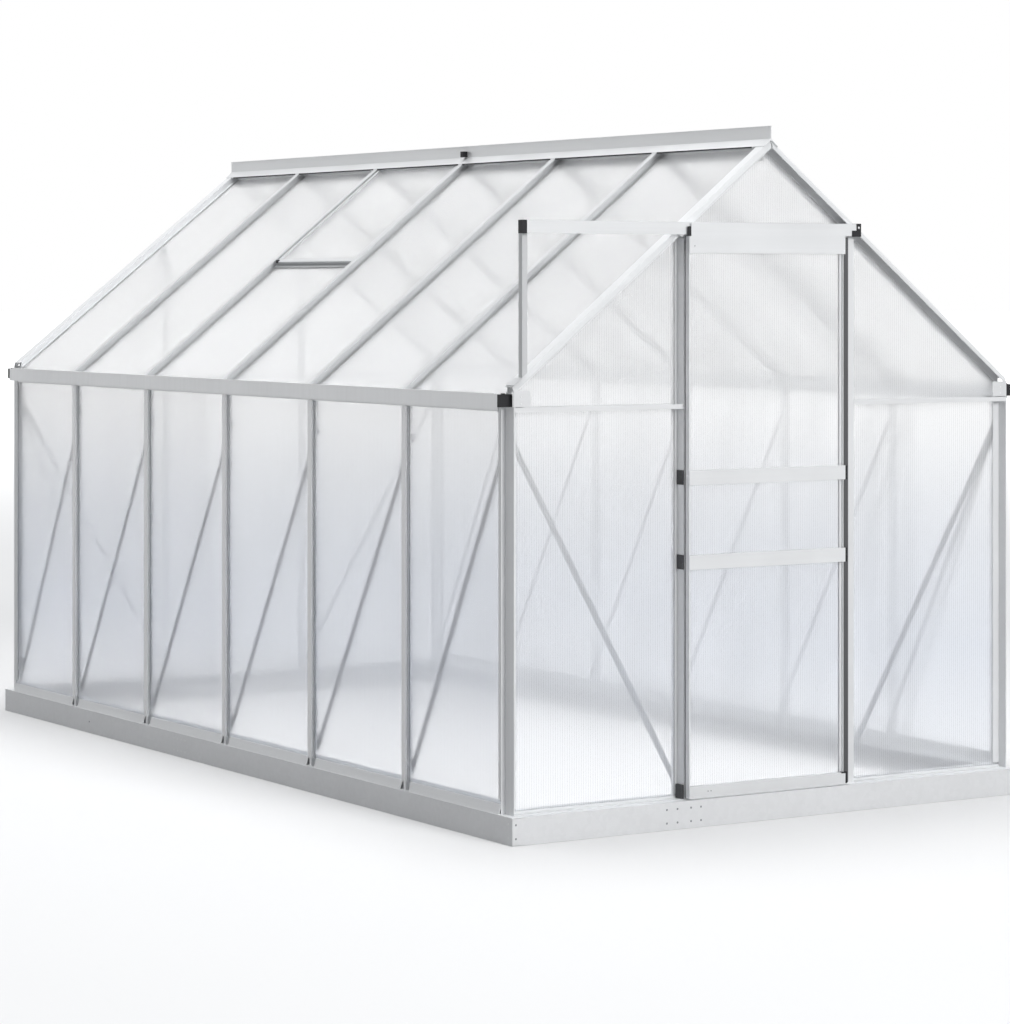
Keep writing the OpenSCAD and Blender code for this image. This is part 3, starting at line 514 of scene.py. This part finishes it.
joinPiece("sheetRibsSides", wallRibs() + roofRibs(), sheetRibsFaint, "house")
joinPiece("sheetRibsEnds", gableRibs(), sheetRibs, "house")
joinPiece("sheetRibsDoor", doorRibs(), sheetRibs, "door")
print("sheets: ribs added")


# Heads in a grid with one step both ways, centred on a point of a face that looks outward
def heads(middle, outward, radius, columns=1, rows=1, step=0.0, rise=headSize["rise"]):
    across = up.cross(outward)
    corner = Vector(middle) - across * step * (columns - 1) / 2
    corner = corner - up * step * (rows - 1) / 2 - outward * headSize["sink"]
    return runTree(headTree, {
        "Columns": columns, "Rows": rows, "Step": step, "Radius": radius,
        "Rise": rise + headSize["sink"], "Sides": headSize["sides"]},
        axesMatrix(corner, across, -outward, up))


baseBolts = {"radius": 0.0036, "height": 0.0415, "step": 0.041, "spliceX": (-0.416, -0.377, -0.327, -0.290),
             "cornerX": 0.9555, "cornerY": 1.833, "sideY": (0.296, 0.326, 0.353, 0.382), "holeY": 1.085}


def baseBoltPair(x, y, outward):
    return heads((x, y, baseBolts["height"]), outward, baseBolts["radius"], rows=2, step=baseBolts["step"])


def makeBaseBolts():
    endLow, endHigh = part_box("base_ends")
    sideLow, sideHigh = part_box("base_sides")
    # The same bolts take the dark tone on the ends, painted shade, and the bright tone on the sides, painted
    # highlight; the side hole head is a dark disc, painted shade
    dark, bright = [], []
    for outward, face, turn in ((front, endLow[1], 1), (back, endHigh[1], -1)):
        splice = [turn * x for x in baseBolts["spliceX"]]
        for x in (*splice, -baseBolts["cornerX"], baseBolts["cornerX"]):
            dark.append(baseBoltPair(x, face, outward))
    for outward, face, turn in ((left, sideLow[0], 1), (right, sideHigh[0], -1)):
        splice = [turn * y for y in baseBolts["sideY"]]
        for y in (*splice, -baseBolts["cornerY"], baseBolts["cornerY"]):
            bright.append(baseBoltPair(face, y, outward))
        hole = (face, turn * baseBolts["holeY"], baseBolts["height"])
        dark.append(heads(hole, outward, baseBolts["radius"]))
    joinPiece("baseBoltsEnds", dark, shadeBoltSteel, "house")
    joinPiece("baseBoltsSides", bright, highlightZincSteel, "house")


makeBaseBolts()
print("bolts: base done")

# Places on the leaf are given as X and Z, on its front face or on its left edge
doorScrews = {"face": -1.855, "small": 0.0022, "round": 0.0042, "edge": 0.00308, "topLeft": (-0.312, 1.770),
              "lowPair": (-0.2575, 0.107), "pairStep": 0.011, "topRight": (0.259, 1.757),
              "leftEdge": (-0.332, 1.072), "edgeDepth": -1.8425}


def makeDoorScrews():
    def screws(place, depth, outward, radius, **grid):
        x, z = doorScrews[place]
        return heads((x, doorScrews[depth], z), outward, doorScrews[radius], **grid)

    dark = [screws("topLeft", "face", front, "small"),
            screws("lowPair", "face", front, "small", columns=2, step=doorScrews["pairStep"])]
    joinPiece("doorScrewsDark", dark, shadeBoltSteel, "door")
    bright = [screws("topRight", "face", front, "round"), screws("leftEdge", "edgeDepth", left, "edge")]
    joinPiece("doorScrewsBright", bright, highlightZincSteel, "door")


makeDoorScrews()

frameScrews = {"gusset": 0.0028, "gussetX": 0.919, "gussetZ": 1.310, "gussetStep": 0.020,
               "cap": 0.004, "capX": 0.322, "capZ": 1.831, "capRise": 0.0012}


def makeFrameScrews():
    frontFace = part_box("gable_rafters_front")[0][1]
    screws = []
    for outward, face in ((front, frontFace), (back, -frontFace)):
        for x in (-frameScrews["gussetX"], frameScrews["gussetX"]):
            screws.append(heads((x, face, frameScrews["gussetZ"]), outward, frameScrews["gusset"],
                                rows=2, step=frameScrews["gussetStep"]))
    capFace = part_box("track_end_caps")[0][1]
    screws.append(heads((frameScrews["capX"], capFace, frameScrews["capZ"]), front, frameScrews["cap"],
                        rise=frameScrews["capRise"]))
    joinPiece("frameScrews", screws, highlightZincSteel, "house")


makeFrameScrews()

moulding = {"most": 0.3, "segments": 2, "profile": 0.5}


# A small moulded shape with rounded edges, from boxes given by their low and high corners
def mouldedMesh(boxes, radius):
    shape = bmesh.new()
    for low, high in boxes:
        middle = [(a + b) / 2 for a, b in zip(low, high)]
        size = [b - a for a, b in zip(low, high)]
        matrix = Matrix.Translation(middle) @ Matrix.Diagonal((*size, 1))
        made = bmesh.ops.create_cube(shape, size=1.0, matrix=matrix)
        edges = list({edge for vertex in made["verts"] for edge in vertex.link_edges})
        bmesh.ops.bevel(shape, geom=edges, offset=min(radius, min(size) * moulding["most"]),
                        segments=moulding["segments"], profile=moulding["profile"], affect="EDGES")
    mesh = bpy.data.meshes.new("moulded")
    shape.to_mesh(mesh)
    shape.free()
    return mesh


cornerHook = {"right": 0.2705, "left": 0.248, "rail": 0.126, "foot": 0.089, "leg": 0.0055, "bar": 0.005,
              "front": -1.8558, "back": -1.846, "inset": 0.001, "round": 0.0012}


def makeCornerHook():
    hook = cornerHook
    leg = ((hook["right"] - hook["leg"], hook["front"], hook["foot"]),
           (hook["right"], hook["back"], hook["rail"]))
    bar = ((hook["left"], hook["front"], hook["rail"] - hook["bar"]),
           (hook["right"] - hook["inset"], hook["back"], hook["rail"]))
    joinPiece("doorCornerHook", [mouldedMesh([leg, bar], hook["round"])], blackPlastic, "door")


ventCatch = {"width": 0.012, "length": 0.014, "height": 0.012, "round": 0.002, "proud": 0.002,
             "fromEnd": 0.004, "above": 0.006}


def makeVentCatch():
    low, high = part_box("vent_frame")
    start = (low[0] - ventCatch["proud"], high[1] - ventCatch["length"] - ventCatch["fromEnd"],
             low[2] + ventCatch["above"])
    size = (ventCatch["width"], ventCatch["length"], ventCatch["height"])
    end = [a + b for a, b in zip(start, size)]
    joinPiece("ventCatch", [mouldedMesh([(start, end)], ventCatch["round"])], blackPlastic, "house")


makeCornerHook()
makeVentCatch()

shadeStripSize = {"thick": 0.0012, "tall": 0.0045, "gap": 0.002, "round": 0.0004}


# Black strips that hang from the ridge's lower edges, from bar to bar: painted shade for the dark line under
# the ridge
def makeRidgeShadeStrips():
    strips = []
    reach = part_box("ridge_beam")[1][0]
    low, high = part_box("gable_rafters_front")[1][1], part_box("gable_rafters_rear")[0][1]
    for name, side in (("roof_bars_left", -1), ("roof_bars_right", 1)):
        face = side * reach
        top = max(v.co.z for v in nodes["ridge_beam"].data.vertices
                  if abs(v.co.x - face) < tolerance["level"])
        near, far = sorted((face, face + side * shadeStripSize["thick"]))
        stops = [low] + sorted(corner.y for box in islands(name) for corner in box[:2]) + [high]
        for start, end in zip(stops[0::2], stops[1::2]):
            strips.append(mouldedMesh([((near, start + shadeStripSize["gap"], top - shadeStripSize["tall"]),
                                        (far, end - shadeStripSize["gap"], top))], shadeStripSize["round"]))
    joinPiece("ridgeShadeStrips", strips, blackPlastic, "house")


gutterBead = {"wide": 0.0036, "tall": 0.0024, "inset": 0.0002, "round": 0.0011, "short": 0.016,
              "sink": 0.0006}


# Rolled bead along each gutter's outer lip; its bright tone is partly a painted highlight along the gutter
# top
def makeGutterBeads():
    beads = []
    for name, side in (("gutter_left", -1), ("gutter_right", 1)):
        low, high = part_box(name)
        outer = (low[0] if side < 0 else high[0]) - side * gutterBead["inset"]
        near, far = sorted((outer, outer - side * gutterBead["wide"]))
        beads.append(mouldedMesh([((near, low[1] + gutterBead["short"], high[2] - gutterBead["sink"]),
                                   (far, high[1] - gutterBead["short"], high[2] + gutterBead["tall"]))],
                                 gutterBead["round"]))
    joinPiece("gutterBeads", beads, highlightZincSteel, "house")


makeRidgeShadeStrips()
makeGutterBeads()
print("fittings: screws, hook, catch, seals and beads done")

studioFloor = {"size": 400.0, "drop": 0.0005, "tone": (0.64, 0.66), "span": (0.2, 0.8), "clouds": 0.4,
               "detail": 2.0, "rough": 0.95, "bounce": 0.62, "near": 0.15, "far": 1.0, "through": 0.66,
               "fade": (5.0, 26.0)}


# Seen directly or in reflections, the floor glows more with distance, so that its edge doesn't show
def makeFloor():
    mesh = bpy.data.meshes.new("floorMesh")
    size, height = studioFloor["size"], -studioFloor["drop"]
    corners = [(x * size, y * size, height) for x, y in ((-1, -1), (1, -1), (1, 1), (-1, 1))]
    mesh.from_pydata(corners, [], [(0, 1, 2, 3)])
    floor = bpy.data.objects.new("studioFloor", mesh)
    bpy.context.scene.collection.objects.link(floor)
    material, tree, shader, place = newMaterial("studioFloorPaint")
    clouds = noiseNode(tree, place, even, studioFloor["clouds"], studioFloor["detail"])
    tone = greyRamp(tree, clouds, studioFloor["span"], studioFloor["tone"])
    path = tree.nodes.new("ShaderNodeLightPath").outputs
    bounce = mathNode(tree, "MAXIMUM", path["Is Camera Ray"], studioFloor["bounce"])
    reach = newNode(tree, "ShaderNodeVectorMath", {0: place})
    reach.operation = "LENGTH"
    start, end = studioFloor["fade"]
    fade = newNode(tree, "ShaderNodeMapRange", {
        "Value": reach.outputs["Value"], "From Min": start, "From Max": end,
        "To Min": studioFloor["near"], "To Max": studioFloor["far"]})
    seen = mathNode(tree, "MAXIMUM", path["Is Camera Ray"], path["Is Glossy Ray"])
    direct = mathNode(tree, "MULTIPLY", seen, fade.outputs["Result"])
    behind = mathNode(tree, "MULTIPLY", path["Is Transmission Ray"], studioFloor["through"])
    feed(tree, shader, {
        "Base Color": multiplyColors(tree, tone, bounce),
        "Roughness": studioFloor["rough"],
        "Specular IOR Level": 0.0,
        "Emission Color": (1, 1, 1, 1),
        "Emission Strength": mathNode(tree, "MAXIMUM", direct, behind)})
    mesh.materials.append(material)


studioSky = {"color": (0.95, 0.97, 1.0), "low": 0.02, "high": 1.15, "bend": 2.0, "white": 1.0}


# Soft light that is strongest overhead, and a plain white background
def makeWorld():
    world = bpy.data.worlds.new("studioWorld")
    bpy.context.scene.world = world
    world.use_nodes = True
    tree = world.node_tree
    tree.nodes.clear()
    place = tree.nodes.new("ShaderNodeTexCoord")
    parts = newNode(tree, "ShaderNodeSeparateXYZ", {"Vector": place.outputs["Generated"]})
    above = mathNode(tree, "POWER", mathNode(tree, "MAXIMUM", parts.outputs["Z"], 0.0), studioSky["bend"])
    strength = mathNode(tree, "ADD", mathNode(tree, "MULTIPLY", above, studioSky["high"]), studioSky["low"])
    soft = newNode(tree, "ShaderNodeBackground", {"Color": (*studioSky["color"], 1), "Strength": strength})
    white = newNode(tree, "ShaderNodeBackground", {"Color": (1, 1, 1, 1), "Strength": studioSky["white"]})
    path = tree.nodes.new("ShaderNodeLightPath").outputs
    seen = mathNode(tree, "MAXIMUM", path["Is Camera Ray"], path["Is Transmission Ray"])
    seen = mathNode(tree, "MAXIMUM", seen, path["Is Glossy Ray"])
    mix = newNode(tree, "ShaderNodeMixShader", {
        "Fac": seen, 1: soft.outputs["Background"], 2: white.outputs["Background"]})
    newNode(tree, "ShaderNodeOutputWorld", {"Surface": mix.outputs["Shader"]})


studioLights = {"keyLight": {"place": (1.2, -14.0, 5.2), "size": 3.5, "power": 900},
                "roofLight": {"place": (-0.6, 0.5, 10.0), "size": 6.0, "power": 620}}
lightTarget = Vector((0, 0, 1.0))


def makeLight(name, settings):
    lamp = bpy.data.lights.new(name, "AREA")
    lamp.shape = "DISK"
    lamp.size = settings["size"]
    lamp.energy = settings["power"]
    holder = bpy.data.objects.new(name, lamp)
    bpy.context.scene.collection.objects.link(holder)
    holder.location = settings["place"]
    holder.rotation_mode = "QUATERNION"
    holder.rotation_quaternion = (lightTarget - Vector(settings["place"])).to_track_quat("-Z", "Y")


# Angles in degrees; sensor and lens in millimetres
studioCamera = {"place": (-6.1751, -10.1818, 1.6518), "tilt": 90, "heading": -31.897, "sensor": 36.0,
                "lens": 117.464, "shift": -0.22195, "near": 0.1, "far": 200.0}


def makeCamera():
    data = bpy.data.cameras.new("studioCamera")
    camera = bpy.data.objects.new("studioCamera", data)
    bpy.context.scene.collection.objects.link(camera)
    camera.location = studioCamera["place"]
    camera.rotation_euler = (math.radians(studioCamera["tilt"]), 0, math.radians(studioCamera["heading"]))
    data.sensor_width = studioCamera["sensor"]
    data.lens = studioCamera["lens"]
    data.shift_y = studioCamera["shift"]
    data.clip_start = studioCamera["near"]
    data.clip_end = studioCamera["far"]
    bpy.context.scene.camera = camera


makeFloor()
makeWorld()
for name, settings in studioLights.items():
    makeLight(name, settings)
makeCamera()
bpy.context.scene.view_settings.view_transform = "Standard"
print("studio: floor, light and camera set")
